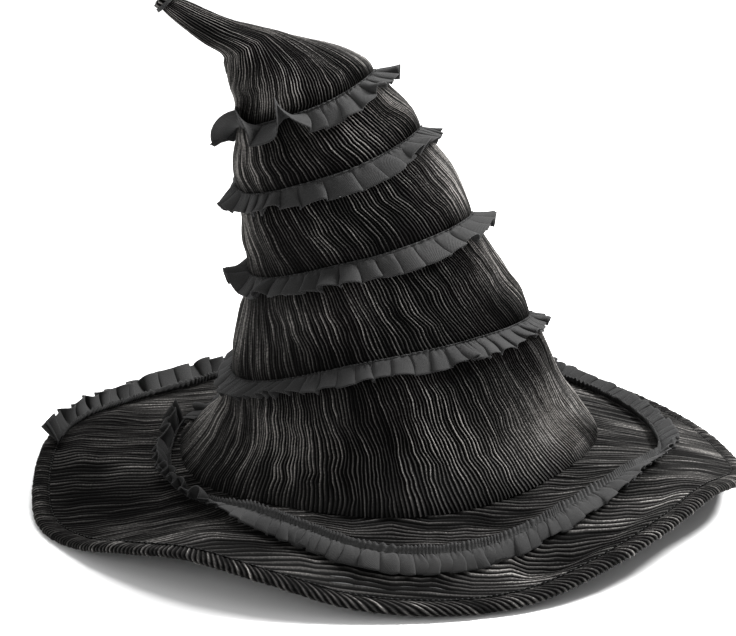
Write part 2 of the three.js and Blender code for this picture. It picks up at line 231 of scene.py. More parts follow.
def polar(radius, angle):
    return radius * np.cos(angle), radius * np.sin(angle)


def circle(count):
    """Evenly spaced angles, once round."""
    return np.linspace(0, FULL_TURN, count, endpoint=False)


def smoothstep(x):
    x = np.clip(x, 0, 1)
    return x * x * (3 - 2 * x)


def running_total(rate, place):
    steps = (rate[1:] + rate[:-1]) / 2 * np.diff(place)
    return np.concatenate([[0], np.cumsum(steps)])


def noise(u, v=0.0, seed=0, kinked=False):
    """Seeded random values from -1 to 1 that change over one unit of u or v."""
    u, v = np.broadcast_arrays(np.asarray(u, float), np.asarray(v, float))
    cells = np.random.default_rng(seed).uniform(-1, 1, (NOISE_CELLS, NOISE_CELLS))
    column = np.floor(u).astype(int)
    row = np.floor(v).astype(int)
    right = u - column if kinked else smoothstep(u - column)
    up = smoothstep(v - row)

    def cell(i, j):
        return cells[(column + i) % NOISE_CELLS, (row + j) % NOISE_CELLS]

    low = cell(0, 0) * (1 - right) + cell(1, 0) * right
    high = cell(0, 1) * (1 - right) + cell(1, 1) * right
    return low * (1 - up) + high * up


def ripples(u, v, rows, seed=0, kinked=False):
    """The sum of noises given as rows of height, length along u, length along v and seed."""
    return sum(
        height * noise(u / u_length, v / v_length, seed + own_seed, kinked)
        for height, u_length, v_length, own_seed in rows
    )


def brim_edge(angle):
    """Radius and height of the brim's edge."""
    degrees = np.mod(np.degrees(angle), 360)
    count = len(BRIM_EDGE)
    ends = np.append(BRIM_EDGE[:, 0], 360)
    start = np.searchsorted(BRIM_EDGE[:, 0], degrees + 1e-9, side="right") - 1
    u = (degrees - ends[start]) / (ends[start + 1] - ends[start])
    near = [(start + k) % count for k in (-1, 0, 1, 2)]
    return [catmull(*[BRIM_EDGE[i, k] for i in near], u) for k in (1, 2)]


def on_brim(x, y, lift):
    """A point over the brim, from its place on a flat round brim and a lift off the middle."""
    angle = np.arctan2(y, x)
    share = (np.hypot(x, y) - HEAD_OPENING_RADIUS) / (BRIM_RADIUS - HEAD_OPENING_RADIUS)
    edge_radius, edge_z = brim_edge(angle)
    radius = HEAD_OPENING_RADIUS + (edge_radius - HEAD_OPENING_RADIUS) * share
    slope = 0.5 * share + 0.5 * share * share * (3 - 2 * share)
    x, y = polar(radius, angle)
    inner_z = HEAD_OPENING_Z + x * HEAD_OPENING_SLOPE
    return stacked(x, y, inner_z + (edge_z - inner_z) * slope + lift)


def crown_frame(x, y, height):
    """A point in the crown's bent frame. Its foot settles onto the wavy brim."""
    centre_x, centre_z, _, tilt = (along(CROWN_RINGS[:, k], height) for k in range(4))
    tilt = np.radians(tilt)
    place_x = centre_x + x * np.cos(tilt)
    place_z = centre_z + x * np.sin(tilt)
    foot_z = on_brim(place_x, y, BRIM_TOP + 0.4)[..., 2]
    ring_z = CROWN_RINGS[0, 1] + place_x * HEAD_OPENING_SLOPE
    place_z = place_z + (foot_z - ring_z) * np.maximum(1 - height, 0) ** 2
    return stacked(place_x, y, place_z)


def crown_radius(height):
    return along(CROWN_RINGS[:, 2], height)


def crown_point(angle, height, offset):
    radius = crown_radius(height) + offset
    return crown_frame(*polar(radius, angle), height)


def turn_angle(turn):
    return np.pi * (1 - 2 * turn)


def crown_seam(turn):
    return along(CROWN_SEAM, turn * 4)


def brim_seam(turn):
    return along(BRIM_SEAM, (turn + 1) * 8)


# Distance up the crown's wall, and turns made by a line that leans 45 degrees, per height.
WALL_HEIGHTS = np.linspace(0, len(CROWN_RINGS) - 1, 1401)
WALL_RINGS = np.stack([along(CROWN_RINGS[:, k], WALL_HEIGHTS) for k in range(3)], -1)
WALL_STEPS = np.linalg.norm(np.diff(WALL_RINGS, axis=0), axis=1)
WALL_ARC = np.concatenate([[0], np.cumsum(WALL_STEPS)])
WALL_TWIST = np.concatenate([[0], np.cumsum(WALL_STEPS / (FULL_TURN * WALL_RINGS[1:, 2]))])


def arc_at(height):
    return np.interp(height, WALL_HEIGHTS, WALL_ARC)


def height_at(arc):
    return np.interp(arc, WALL_ARC, WALL_HEIGHTS)


def twist_at(height):
    return np.interp(height, WALL_HEIGHTS, WALL_TWIST)


# --- meshes -------------------------------------------------------------------------------

def row_frame(points):
    """Design millimetres to row-frame metres."""
    return (np.asarray(points, float) + ORIGIN) * MM


def add_object(name, data):
    added = bpy.data.objects.new(name, data)
    bpy.context.scene.collection.objects.link(added)
    return added


def make_mesh(name, vertices, faces, material, uv=None, crest=None):
    mesh = bpy.data.meshes.new(name)
    mesh.from_pydata(row_frame(vertices).tolist(), [], faces.tolist())
    if uv is not None:
        layer = mesh.uv_layers.new(name="cloth")
        corners = np.zeros(len(mesh.loops), int)
        mesh.loops.foreach_get("vertex_index", corners)
        layer.data.foreach_set("uv", uv[corners].astype(np.float32).ravel())
    if crest is not None:
        attribute = mesh.attributes.new("crest", "FLOAT", "POINT")
        attribute.data.foreach_set("value", crest.astype(np.float32).ravel())
    mesh.polygons.foreach_set("use_smooth", np.ones(len(mesh.polygons), bool))
    mesh.update()
    mesh.materials.append(material)
    return add_object(name, mesh)


def grid_faces(rows, columns, wrap_rows=False, wrap_columns=False):
    i = np.arange(rows if wrap_rows else rows - 1)[:, None]
    j = np.arange(columns if wrap_columns else columns - 1)[None, :]
    above = (i + 1) % rows
    beside = (j + 1) % columns
    corners = [i * columns + j, i * columns + beside, above * columns + beside, above * columns + j]
    return stacked(*corners).reshape(-1, 4)


def grid_piece(name, points, material, uv=None, crest=None, wrap_rows=False, wrap_columns=False):
    rows, columns = points.shape[:2]
    faces = grid_faces(rows, columns, wrap_rows, wrap_columns)
    flat_uv = None if uv is None else stacked(*uv).reshape(-1, 2)
    flat_crest = None if crest is None else np.broadcast_to(crest, (rows, columns)).reshape(-1)
    return make_mesh(name, points.reshape(-1, 3), faces, material, flat_uv, flat_crest)


def normals(points):
    across = np.gradient(points, axis=1)
    up = np.gradient(points, axis=0)
    normal = np.cross(across, up)
    length = np.linalg.norm(normal, axis=-1, keepdims=True)
    return normal / np.maximum(length, 1e-9)


def thicken(points, thickness):
    """A closed loop of rows round a strip: its front and then its back."""
    half = normals(points) * thickness / 2
    return np.concatenate([points + half, (points - half)[::-1]])


def doubled(values):
    """Row values of a strip, for the loop that thicken makes."""
    return np.concatenate([values, values[::-1]])


# --- materials ----------------------------------------------------------------------------

class Look:
    """A material's nodes, made and joined in short calls."""

    def __init__(self, name, roughness, metallic=0.0, specular=0.3):
        self.material = bpy.data.materials.new(name)
        self.material.use_nodes = True
        self.tree = self.material.node_tree
        self.shader = self.tree.nodes["Principled BSDF"]
        self.shader.inputs["Roughness"].default_value = roughness
        self.shader.inputs["Metallic"].default_value = metallic
        self.shader.inputs["Specular IOR Level"].default_value = specular

    def node(self, kind, **values):
        node = self.tree.nodes.new("ShaderNode" + kind)
        for key, value in values.items():
            if hasattr(node, key):
                setattr(node, key, value)
            else:
                node.inputs[key.replace("_", " ")].default_value = value
        return node

    def join(self, output, socket):
        self.tree.links.new(output, socket)
        return self

    def sheen(self, weight, roughness, tint):
        self.shader.inputs["Sheen Weight"].default_value = weight
        self.shader.inputs["Sheen Roughness"].default_value = roughness
        self.shader.inputs["Sheen Tint"].default_value = (*tint, 1)
        return self

    def cloth_place(self, scale, turned=0.0):
        """The cloth's own flat coordinates, in threads when scale is threads per millimetre."""
        place = self.node("UVMap", uv_map="cloth")
        mapping = self.node("Mapping")
        mapping.inputs["Scale"].default_value = (scale, scale, scale)
        mapping.inputs["Rotation"].default_value = (0, 0, math.radians(turned))
        self.join(place.outputs["UV"], mapping.inputs["Vector"])
        return mapping.outputs["Vector"]

    def speckle(self, vector, scale, detail):
        texture = self.node("TexNoise", Scale=scale, Detail=detail)
        self.join(vector, texture.inputs["Vector"])
        return texture.outputs["Fac"]

    def patches(self, scale, detail):
        """Noise through the whole object, with scale in cells per metre."""
        return self.speckle(self.node("TexCoord").outputs["Object"], scale, detail)

    def lint(self, scale, detail):
        """Noise over the flat cloth, with scale in cells per millimetre."""
        return self.speckle(self.cloth_place(1.0), scale, detail)

    def wave(self, vector, direction="X", distortion=0.0):
        texture = self.node("TexWave", bands_direction=direction, Scale=1.0, Distortion=distortion)
        self.join(vector, texture.inputs["Vector"])
        return texture.outputs["Fac"]

    def math(self, operation, first, second):
        node = self.node("Math", operation=operation)
        for socket, value in zip(node.inputs, (first, second)):
            if isinstance(value, (int, float)):
                socket.default_value = value
            else:
                self.join(value, socket)
        return node.outputs["Value"]

    def mixed(self, first, share, second):
        """A share of the first value and the rest of the second."""
        rest = self.math("MULTIPLY", second, 1 - share)
        return self.math("ADD", self.math("MULTIPLY", first, share), rest)

    def ramp(self, factor, stops):
        node = self.node("ValToRGB")
        elements = node.color_ramp.elements
        while len(elements) < len(stops):
            elements.new(0.5)
        for element, (position, colour) in zip(elements, stops):
            element.position = position
            element.color = (*colour, 1)
        self.join(factor, node.inputs["Fac"])
        return node.outputs["Color"]

    def range(self, value, low, high, into_low, into_high):
        node = self.node("MapRange")
        sockets = ("From Min", "From Max", "To Min", "To Max")
        for key, number in zip(sockets, (low, high, into_low, into_high)):
            node.inputs[key].default_value = number
        self.join(value, node.inputs["Value"])
        return node.outputs["Result"]

    def colour(self, factor, stops):
        return self.join(self.ramp(factor, stops), self.shader.inputs["Base Color"])

    def roughness(self, value, low, high, into_low, into_high):
        rough = self.range(value, low, high, into_low, into_high)
        return self.join(rough, self.shader.inputs["Roughness"])

    def bump(self, height, strength, distance):
        """Adds a bump on top of those already made."""
        node = self.node("Bump", Strength=strength, Distance=distance)
        socket = self.shader.inputs["Normal"]
        if socket.is_linked:
            self.join(socket.links[0].from_socket, node.inputs["Normal"])
        self.join(height, node.inputs["Height"])
        return self.join(node.outputs["Normal"], socket)


def grey(value, warmth=0.0):
    return (value * (1 + warmth), value, value * (1 - warmth))


# Width of one band of Blender's wave texture.
WAVE_LENGTH = math.pi / 10


def plain_weave(look, threads_per_mm, strength):
    warp = look.wave(look.cloth_place(threads_per_mm * WAVE_LENGTH), "X", 0.4)
    weft = look.wave(look.cloth_place(threads_per_mm * WAVE_LENGTH), "Y", 0.4)
    return look.bump(look.math("MULTIPLY", warp, weft), strength, 0.0002)


def pleated_cloth():
    """Black plisse, matte in the valleys: painted shade darkens the valleys, and the crests are paler,
    partly painted highlight and partly wear.
    """
    look = Look("pleated_cloth", 0.62, specular=0.03)
    crest = look.node("Attribute", attribute_name="crest").outputs["Fac"]
    patches = look.patches(16.0, 4.0)
    lint = look.lint(0.9, 5.0)
    # Crest values times random patches and lint: painted crest highlight and valley shade, with real wear
    # in its tone.
    wear_and_crest_light = look.math("MULTIPLY", crest, look.range(patches, 0.3, 0.7, 0.8, 1.1))
    wear_and_crest_light = look.math("MULTIPLY", wear_and_crest_light, look.range(lint, 0.35, 0.7, 0.86, 1.12))
    # Painted shade in the lowest stops darkens the valleys; painted highlight in the top stops lightens
    # the crests.
    stops = [
        (0.0, grey(0.0006)),
        (0.4, grey(0.004, 0.03)),
        (0.72, grey(0.04, 0.04)),
        (1.0, grey(0.22, 0.05)),
    ]
    look.colour(wear_and_crest_light, stops)
    look.roughness(wear_and_crest_light, 0, 1, 0.8, 0.5)
    plain_weave(look, 3.0, 0.35)
    look.bump(lint, 0.3, 0.0004)
    return look.material


def twill_cloth():
    """Charcoal twill: fine diagonal ribs and a little lint."""
    look = Look("twill_cloth", 0.8, specular=0.1)
    ribs = look.wave(look.cloth_place(1.7 * WAVE_LENGTH, 38), "X", 0.6)
    lint = look.lint(1.4, 5.0)
    patches = look.patches(22.0, 3.0)
    tone = look.mixed(ribs, 0.45, lint)
    tone = look.math("MULTIPLY", tone, look.range(patches, 0.3, 0.7, 0.8, 1.2))
    look.colour(tone, [(0.2, grey(0.011)), (0.55, grey(0.023)), (0.9, grey(0.042, 0.02))])
    look.sheen(0.05, 0.5, (0.9, 0.9, 0.92))
    look.bump(ribs, 0.5, 0.00025)
    look.bump(lint, 0.3, 0.0004)
    return look.material


def lining_cloth():
    look = Look("lining_cloth", 0.42, specular=0.4)
    patches = look.patches(30.0, 3.0)
    look.colour(patches, [(0.3, grey(0.006)), (0.7, grey(0.014))])
    look.roughness(patches, 0.3, 0.7, 0.36, 0.5)
    look.sheen(0.1, 0.3, (0.9, 0.9, 0.95))
    plain_weave(look, 4.0, 0.3)
    return look.material


def band_cloth():
    """Grosgrain: ribs across the ribbon."""
    look = Look("band_cloth", 0.55, specular=0.35)
    ribs = look.wave(look.cloth_place(1.1 * WAVE_LENGTH), "X", 0.1)
    lint = look.lint(1.2, 4.0)
    tone = look.mixed(ribs, 0.7, lint)
    look.colour(tone, [(0.1, grey(0.006)), (0.6, grey(0.016)), (0.95, grey(0.03))])
    look.sheen(0.15, 0.4, (0.9, 0.9, 0.9))
    look.bump(ribs, 0.8, 0.0005)
    look.bump(lint, 0.2, 0.0003)
    return look.material


def label_cloth():
    look = Look("label_cloth", 0.4, specular=0.45)
    ribs = look.wave(look.cloth_place(2.2 * WAVE_LENGTH), "Y", 0.1)
    lint = look.lint(0.5, 4.0)
    tone = look.mixed(ribs, 0.4, lint)
    look.colour(tone, [(0.2, (0.5, 0.47, 0.41)), (0.8, (0.72, 0.69, 0.62))])
    look.sheen(0.2, 0.3, (1, 1, 1))
    look.bump(ribs, 0.5, 0.0002)
    return look.material


def interlining():
    """Stiff grey felt."""
    look = Look("interlining", 0.95, specular=0.15)
    fibres = look.patches(900.0, 6.0)
    patches = look.patches(60.0, 3.0)
    tone = look.mixed(fibres, 0.7, patches)
    look.colour(tone, [(0.3, grey(0.03)), (0.7, grey(0.07))])
    look.bump(fibres, 0.6, 0.0006)
    return look.material


def spring_wire():
    look = Look("spring_wire", 0.3, metallic=1.0, specular=0.5)
    drawn = look.patches(1500.0, 3.0)
    look.colour(drawn, [(0.3, (0.42, 0.43, 0.44)), (0.7, (0.62, 0.63, 0.64))])
    look.roughness(drawn, 0.3, 0.7, 0.22, 0.42)
    look.bump(drawn, 0.15, 0.0002)
    return look.material


def thread():
    look = Look("thread", 0.6, specular=0.1)
    twist = look.patches(2500.0, 2.0)
    look.colour(twist, [(0.3, grey(0.012)), (0.7, grey(0.045))])
    look.sheen(0.05, 0.4, (0.9, 0.9, 0.9))
    look.bump(twist, 0.5, 0.0002)
    return look.material


def pale_floor():
    look = Look("pale_floor", 0.7, specular=0.2)
    grain = look.patches(3.0, 2.0)
    look.colour(grain, [(0.3, (0.9, 0.9, 0.9)), (0.7, (0.92, 0.92, 0.92))])
    return look.material


PLEATED = pleated_cloth()
TWILL = twill_cloth()
LINING = lining_cloth()
BAND = band_cloth()
LABEL = label_cloth()
FELT = interlining()
WIRE = spring_wire()
THREAD = thread()


def bumps(place, rows):
    """The sum of smooth bumps given as (centre, spread, height)."""
    return sum(height * np.exp(-((place - centre) / spread) ** 2) for centre, spread, height in rows)


# --- crown --------------------------------------------------------------------------------

def pleat_phases(count, steps):
    """Column places, in pleats, with the crest of each pleat at a whole number."""
    return np.append((np.arange(count)[:, None] + np.array(steps)).ravel(), count)


def narrow_crest(phase):
    return (0.5 + 0.5 * np.cos(FULL_TURN * phase)) ** 1.4


def joined_crest(phase, pitch):
    """Crests that join in pairs where there is no room for them all."""
    level = np.clip(np.log2(LEAST_PITCH / pitch), 0, 3)
    whole = np.floor(level)
    share = smoothstep(level - whole)
    finer = narrow_crest(phase / 2 ** whole)
    coarser = narrow_crest(phase / 2 ** (whole + 1))
    return finer * (1 - share) + coarser * share


def pleated_wall(phase, turn, arc, twist, pitch, edge):
    """Points, crest values and flat places of the pleated crown cover.

    edge runs from 0 at a stitched seam to 1 well inside the cloth.
    """
    height = height_at(arc)
    radius = crown_radius(height)
    pleat = np.floor(phase + 0.5)
    shape = joined_crest(phase, pitch)
    strength = 0.86 + ripples(pleat, arc, PLEAT_STRENGTH) + ripples(phase, arc, CROWN_STRENGTH)
    strength = strength * (0.55 + 0.45 * edge)
    kinks = ripples(arc, phase, CROWN_KINKS, kinked=True)
    lean = (0.45 + ripples(phase, arc, CROWN_LEAN)) * shape
    sideways = (kinks + lean) * np.minimum(pitch / CROWN_PITCH, 1)
    angle = turn_angle(turn + twist + sideways / (FULL_TURN * radius))
    tall = CROWN_PLEAT_HEIGHT * np.minimum(pitch / LEAST_PITCH, 1) ** 0.5 * np.minimum(radius / 18, 1)
    from_join = np.minimum(np.abs(turn - CROWN_TURNS), np.abs(turn - CROWN_TURNS - 1))
    off_join = smoothstep(from_join / 0.07)
    bulges = np.maximum(ripples(phase, arc, CROWN_BULGES), 0) * off_join
    puff = (1.5 + bulges) * edge * np.minimum(radius / 30, 1)
    dents = ripples(phase, arc, CROWN_DENTS) * edge * off_join
    offset = -2.3 + tall * shape * strength + puff + dents * np.minimum(radius / 40, 1)
    points = crown_point(angle, height, offset)
    # Painted light: the foot's right flank, facing the key light, is blended towards pale crests.
    lit_flank = bumps(turn, LIT_FLANK_TURN) * bumps(height, LIT_FLANK_HEIGHT)
    # Crest values paint highlight on the crests and shade in the valleys, weaker towards the seams.
    crest = shape * strength
    crest = crest + (1 - crest) * lit_flank
    return points, crest, (phase * CROWN_PITCH, arc + 0 * phase)


def crown_cover():
    """Four turns of the cover, each between two turns of the ruffle's seam."""
    turns = np.linspace(0, CROWN_TURNS, 2001)
    low = np.where(turns < 1, 0, crown_seam(turns - 1))
    middle = (low + crown_seam(turns)) / 2
    pleats = running_total(FULL_TURN * crown_radius(middle) / CROWN_PITCH, turns)
    count = int(pleats[-1])
    phases = pleat_phases(count, PLEAT_STEPS)
    columns = np.interp(phases, pleats * count / pleats[-1], turns)
    low = np.where(columns < 1, 0, crown_seam(columns - 1))
    high = crown_seam(columns)
    slant = SLANT * (0.5 + 0.5 * smoothstep(columns / 3))
    for _ in range(6):
        high = crown_seam(columns + slant * (twist_at(high) - twist_at(low)))
    up = np.linspace(0, 1, CROWN_ROWS)[:, None]
    arc = arc_at(low) + (arc_at(high) - arc_at(low)) * up
    twist = slant * (twist_at(height_at(arc)) - twist_at(low))
    edge = np.sqrt(np.sin(np.pi * np.clip(up, 0.004, 0.996)))
    pitch = FULL_TURN * crown_radius(height_at(arc)) * np.gradient(columns, phases)
    points, crest, uv = pleated_wall(phases[None, :], columns[None, :], arc, twist, pitch, edge)
    for number in range(1, CROWN_TURNS + 1):
        inside = np.flatnonzero((columns >= number - 1 - 1e-9) & (columns <= number + 1e-9))
        last = len(phases) if number == CROWN_TURNS else inside[-1] + 2
        part = slice(inside[0], last)
        flat = (np.broadcast_to(uv[0], crest.shape)[:, part], uv[1][:, part])
        piece = grid_piece(f"crown_cover_{number}", points[:, part], PLEATED, flat, crest[:, part])
        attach(piece, "hat")
        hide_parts(f"crown_tier_{number}")


def bend_across_peak(piece):
    """Bakes the piece's placement into its mesh."""
    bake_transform(piece)


def peak_cover():
    """The top turn of the cover, on through the bend to the tip."""
    phases = pleat_phases(PEAK_PLEATS, PLEAT_STEPS)
    columns = CROWN_TURNS + phases / PEAK_PLEATS
    base_twist = twist_at(crown_seam(CROWN_TURNS - 1))
    turned_twist = twist_at(crown_seam(CROWN_TURNS))
    last_twist = twist_at(LAST_LEAN)

    def peak_twist(height):
        """The pleats lean with the turn below as far as its seam, and then lean back."""
        twist = np.minimum(twist_at(height), last_twist)
        with_seam = np.minimum(twist, turned_twist) - base_twist
        return SLANT * with_seam + PEAK_SLANT * np.maximum(twist - turned_twist, 0)

    low = crown_seam(columns - 1)
    for _ in range(6):
        low = crown_seam(columns - 1 + peak_twist(low))
    up = np.linspace(0, 1, PEAK_ROWS)[:, None]
    bend = arc_at(BEND_START)
    top = arc_at(PEAK_COVER_TOP)
    above = np.clip((up - PEAK_LOWER_SHARE) / (1 - PEAK_LOWER_SHARE), 0, 1)
    below = np.clip(up / PEAK_LOWER_SHARE, 0, 1)
    upper = arc_at(height_at(bend + (top - bend) * above))
    lower = arc_at(low) + (bend - arc_at(low)) * below
    arc = np.where(up < PEAK_LOWER_SHARE, lower, upper)
    height = height_at(arc)
    twist = peak_twist(height)
    edge = smoothstep((arc - arc_at(low)) / 12) ** 0.5 * smoothstep((top - arc) / 8)
    pitch = FULL_TURN * crown_radius(height) / PEAK_PLEATS
    points, crest, uv = pleated_wall(phases[None, :], columns[None, :], arc, twist, pitch, edge)
    points[:, -1] = np.where(up >= PEAK_LOWER_SHARE, points[:, 0], points[:, -1])
    piece = grid_piece("peak_cover_pleated", points, PLEATED, uv, crest)
    bend_across_peak(piece)
    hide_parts("crown_tier_5", "bend_cover", "peak_cover")


def peak_tip():
    """The gathered end of the peak: a small bud of folds."""
    around = circle(144)[None, :]
    up = np.linspace(0, 1, 18)[:, None]
    radius = 4.6 * np.cos(up * np.pi / 2) ** 0.7 + 0.9 * np.sin(up * np.pi) * (up < 0.5)
    folds = 1 + 0.16 * np.cos(11 * around + 2.5 * up) * np.sqrt(np.clip(1 - up, 0, 1))
    height = GATHER_START + 0.5 * np.sin(up * np.pi / 2)
    points = crown_frame(*polar(radius * folds, around), np.minimum(height, 13.999))
    # Crest values paint highlight on the folds' crests and shade between them.
    crest = 0.5 + 0.5 * np.cos(11 * around + 2.5 * up)
    piece = grid_piece("peak_tip_gather", points, PLEATED, (around * 4, up * 6), crest, wrap_columns=True)
    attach(piece, "peak")
    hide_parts("peak_gather")


def tube(path, radius, sides, closed=False):
    """Rows round a path of points."""
    path = np.asarray(path, float)
    if closed:
        tangent = np.roll(path, -1, axis=0) - np.roll(path, 1, axis=0)
    else:
        tangent = np.gradient(path, axis=0)
    tangent /= np.linalg.norm(tangent, axis=1, keepdims=True)
    side = np.cross(tangent, (0.13, 0.97, 0.21))
    side /= np.linalg.norm(side, axis=1, keepdims=True)
    over = np.cross(tangent, side)
    around = circle(sides)
    ring = np.cos(around)[:, None, None] * side + np.sin(around)[:, None, None] * over
    return path[None] + ring * np.asarray(radius)


def peak_thread():
    """Thread wound round the gathered end."""
    turns = 4
    wound = np.linspace(0, turns, turns * 40)
    angle = FULL_TURN * wound
    height = THREAD_START + 0.14 * wound / turns
    path = crown_point(angle, height, 0.2 + 0.15 * np.sin(9 * angle / turns))
    piece = grid_piece("peak_thread", tube(path, 0.42, 8), THREAD, wrap_rows=True)
    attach(piece, "peak")
    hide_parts("peak_tie")


def peak_wire():
    heights = np.linspace(LINING_TOP + 0.3, WIRE_TOP, 60)
    path = crown_frame(0 * heights, 0 * heights, heights)
    piece = grid_piece("peak_wire_soft", tube(path, 0.8, 10), WIRE, wrap_rows=True)
    bend_across_peak(piece)
    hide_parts("peak_wire")


# --- brim ---------------------------------------------------------------------------------

def broad_crest(phase):
    return np.abs(np.cos(np.pi * phase)) ** 0.9


def front_ridge(turn):
    """How far the cover is gathered up under the ruffle across the front."""
    return FRONT_RIDGE * smoothstep((turn + 0.46) / 0.14) * smoothstep((-0.1 - turn) / 0.1)


def seam_ridge(x, y):
    """The ridge's height over the brim."""
    turn = (1 - np.arctan2(y, x) / np.pi) / 2 - 1
    share = (np.hypot(x, y) - HEAD_OPENING_RADIUS) / (BRIM_RADIUS - HEAD_OPENING_RADIUS)
    away = (share - brim_seam(turn)) * (BRIM_RADIUS - HEAD_OPENING_RADIUS)
    spread = np.where(away < 0, 14, 6)
    return front_ridge(turn) * np.exp(-(away / spread) ** 2)


def brim_cover(name, side, node, seed):
    """Pleats that run from left to right over the whole brim, open over the head."""
    count = int(2 * HEM_INNER / BRIM_PITCH)
    phases = pleat_phases(count, BRIM_STEPS)[:, None]
    row_y = -HEM_INNER + 2 * HEM_INNER * phases / count
    half = np.sqrt(np.maximum(HEM_INNER ** 2 - row_y ** 2, 0)) + 0.01
    x = np.linspace(-1, 1, BRIM_COLUMNS)[None, :] * half
    inset = smoothstep((HEM_INNER - np.hypot(x, row_y)) / 14)
    kinks = ripples(x, row_y, BRIM_KINKS, seed, kinked=True)
    y = row_y + (kinks + ripples(x, row_y, BRIM_SWING, seed)) * inset
    pleat = np.floor(phases + 0.5)
    wear_and_crest_light = smoothstep(ripples(x, row_y, BRIM_WORN, seed) - 0.25)
    strength = 0.92 + ripples(x, pleat, BRIM_STRENGTH, seed)
    shape = broad_crest(phases) * strength * (1 - 0.4 * wear_and_crest_light)
    swell = ripples(x, row_y, BRIM_SWELL, seed) * inset
    lift = 1.0 + BRIM_PLEAT_HEIGHT * shape * (0.6 + 0.4 * inset) + 0.9 * wear_and_crest_light + np.maximum(swell, -0.2)
    if side > 0:
        lift = lift + seam_ridge(x, y)
    inner = np.hypot(x, y)
    snap = np.where(inner < HEAD_OPENING_RADIUS, HEAD_OPENING_RADIUS / np.maximum(inner, 1), 1)
    points = on_brim(x * snap, y * snap, side * lift)
    faces = grid_faces(*inner.shape)
    kept = (inner.reshape(-1)[faces] >= HEAD_OPENING_RADIUS).any(axis=1)
    uv = stacked(x, row_y).reshape(-1, 2)
    used, faces = np.unique(faces[kept], return_inverse=True)
    faces = faces.reshape(-1, 4)
    vertices = points.reshape(-1, 3)[used]
    # Crest values paint highlight on the crests and shade in the valleys; the worn patches add real
    # paleness.
    crest = 0.71 * (broad_crest(phases) * strength) ** 1.7 + 0.16 * wear_and_crest_light
    crest = np.broadcast_to(crest, inner.shape)
    piece = make_mesh(name, vertices, faces, PLEATED, uv[used], crest.reshape(-1)[used])
    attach(piece, "hat")
    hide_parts(node)


# Across the hem from its stitched top edge, over the brim's edge, to the stitched under edge:
# radius and lift.
HEM_PROFILE = np.array([
    [195.2, 1.6],
    [196.2, 1.5],
    [197.6, 2.1],
    [200.5, 2.4],
    [203.2, 2.1],
    [204.6, 1.2],
    [205.1, 0.0],
    [204.6, -1.2],
    [203.2, -2.0],
    [200.5, -2.2],
    [197.6, -2.0],
    [195.2, -1.5],
])


def hem_slant(angle):
    """How far the hem's pleats run round the brim for each step across it."""
    sideways = np.tanh(4 * (np.cos(angle) + 0.7))
    return sideways * np.sin(angle) / (np.abs(sideways * np.cos(angle)) + 0.55)


def brim_hem():
    """The cover rolled over the edge, its pleats crossing the hem at a slant."""
    turned = np.linspace(0, FULL_TURN, 3601)
    pleats = running_total(BRIM_RADIUS / HEM_PITCH / np.hypot(1, hem_slant(turned)), turned)
    count = int(pleats[-1])
    phases = pleat_phases(count, BRIM_STEPS)[None, :-1]
    start = np.interp(phases, pleats * count / pleats[-1], turned)
    across = np.linspace(0, 1, 34)[:, None]
    place = across * (len(HEM_PROFILE) - 1)
    radius, lift = along(HEM_PROFILE[:, 0], place), along(HEM_PROFILE[:, 1], place)
    slope_r, slope_l = np.gradient(radius[:, 0])[:, None], np.gradient(lift[:, 0])[:, None]
    length = np.hypot(slope_r, slope_l)
    way_over = np.cumsum(length, axis=0) - length[0]
    pleat = np.floor(phases + 0.5) % count
    kinks = 1.3 * noise(way_over / 5, phases * 40 / count, 31, kinked=True) * smoothstep(way_over / 3)
    slide = (kinks - hem_slant(start) * way_over) / BRIM_RADIUS
    angle = start + slide
    held = np.sin(np.pi * np.clip(across, 0.01, 0.99)) ** 0.4
    strength = 0.9 + 0.3 * noise(pleat, way_over / 7, 33)
    shape = narrow_crest(phases) ** 0.6 * strength
    push = 1.1 * shape * held - 0.4
    radius = radius - slope_l / length * push
    lift = lift + slope_r / length * push
    points = on_brim(*polar(radius, angle), lift)
    uv = (phases * HEM_PITCH, way_over)
    # Crest values paint highlight on the hem's crests and shade in its valleys, darker towards the
    # stitched edges.
    crest = 0.84 * shape * (0.5 + 0.5 * held)
    piece = grid_piece("brim_hem_rolled", points, PLEATED, uv, crest, wrap_columns=True)
    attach(piece, "hat")
    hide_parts("brim_hem")


def stitch_row(name, centres, ways, ups, length, width):
    """A row of short raised stitches."""
    centres, ways, ups = (np.asarray(a, float) for a in (centres, ways, ups))
    sides = np.cross(ways, ups)
    corners = [
        -ways * length / 2 - ups * width * 0.3,
        sides * width / 2,
        ups * width / 2,
        -sides * width / 2,
        -ups * width / 2,
        ways * length / 2 - ups * width * 0.3,
    ]
    vertices = (centres[:, None] + np.stack(corners, 1)).reshape(-1, 3)
    shell = [[0, 1, 2], [0, 2, 3], [0, 3, 4], [0, 4, 1], [5, 2, 1], [5, 3, 2], [5, 4, 3], [5, 1, 4]]
    faces = (np.array(shell)[None] + 6 * np.arange(len(centres))[:, None, None]).reshape(-1, 3)
    piece = make_mesh(name, vertices, faces, THREAD)
    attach(piece, "hat")


def unit(vectors):
    return vectors / np.maximum(np.linalg.norm(vectors, axis=-1, keepdims=True), 1e-9)


def hem_stitches():
    count = 400
    angle = FULL_TURN * np.arange(count) / count

    def place(turned, radius, lift):
        return on_brim(*polar(radius, turned), lift)

    for side, name in ((1, "hem_stitches_top"), (-1, "hem_stitches_under")):
        centres = place(angle, HEM_INNER + 0.7, side * 2.7)
        ways = unit(place(angle + 0.002, HEM_INNER + 0.7, 0) - place(angle - 0.002, HEM_INNER + 0.7, 0))
        ups = np.broadcast_to(np.array([0, 0, float(side)]), ways.shape)
        stitch_row(name, centres, ways, ups, 2.2, 0.6)


# --- ruffle -------------------------------------------------------------------------------

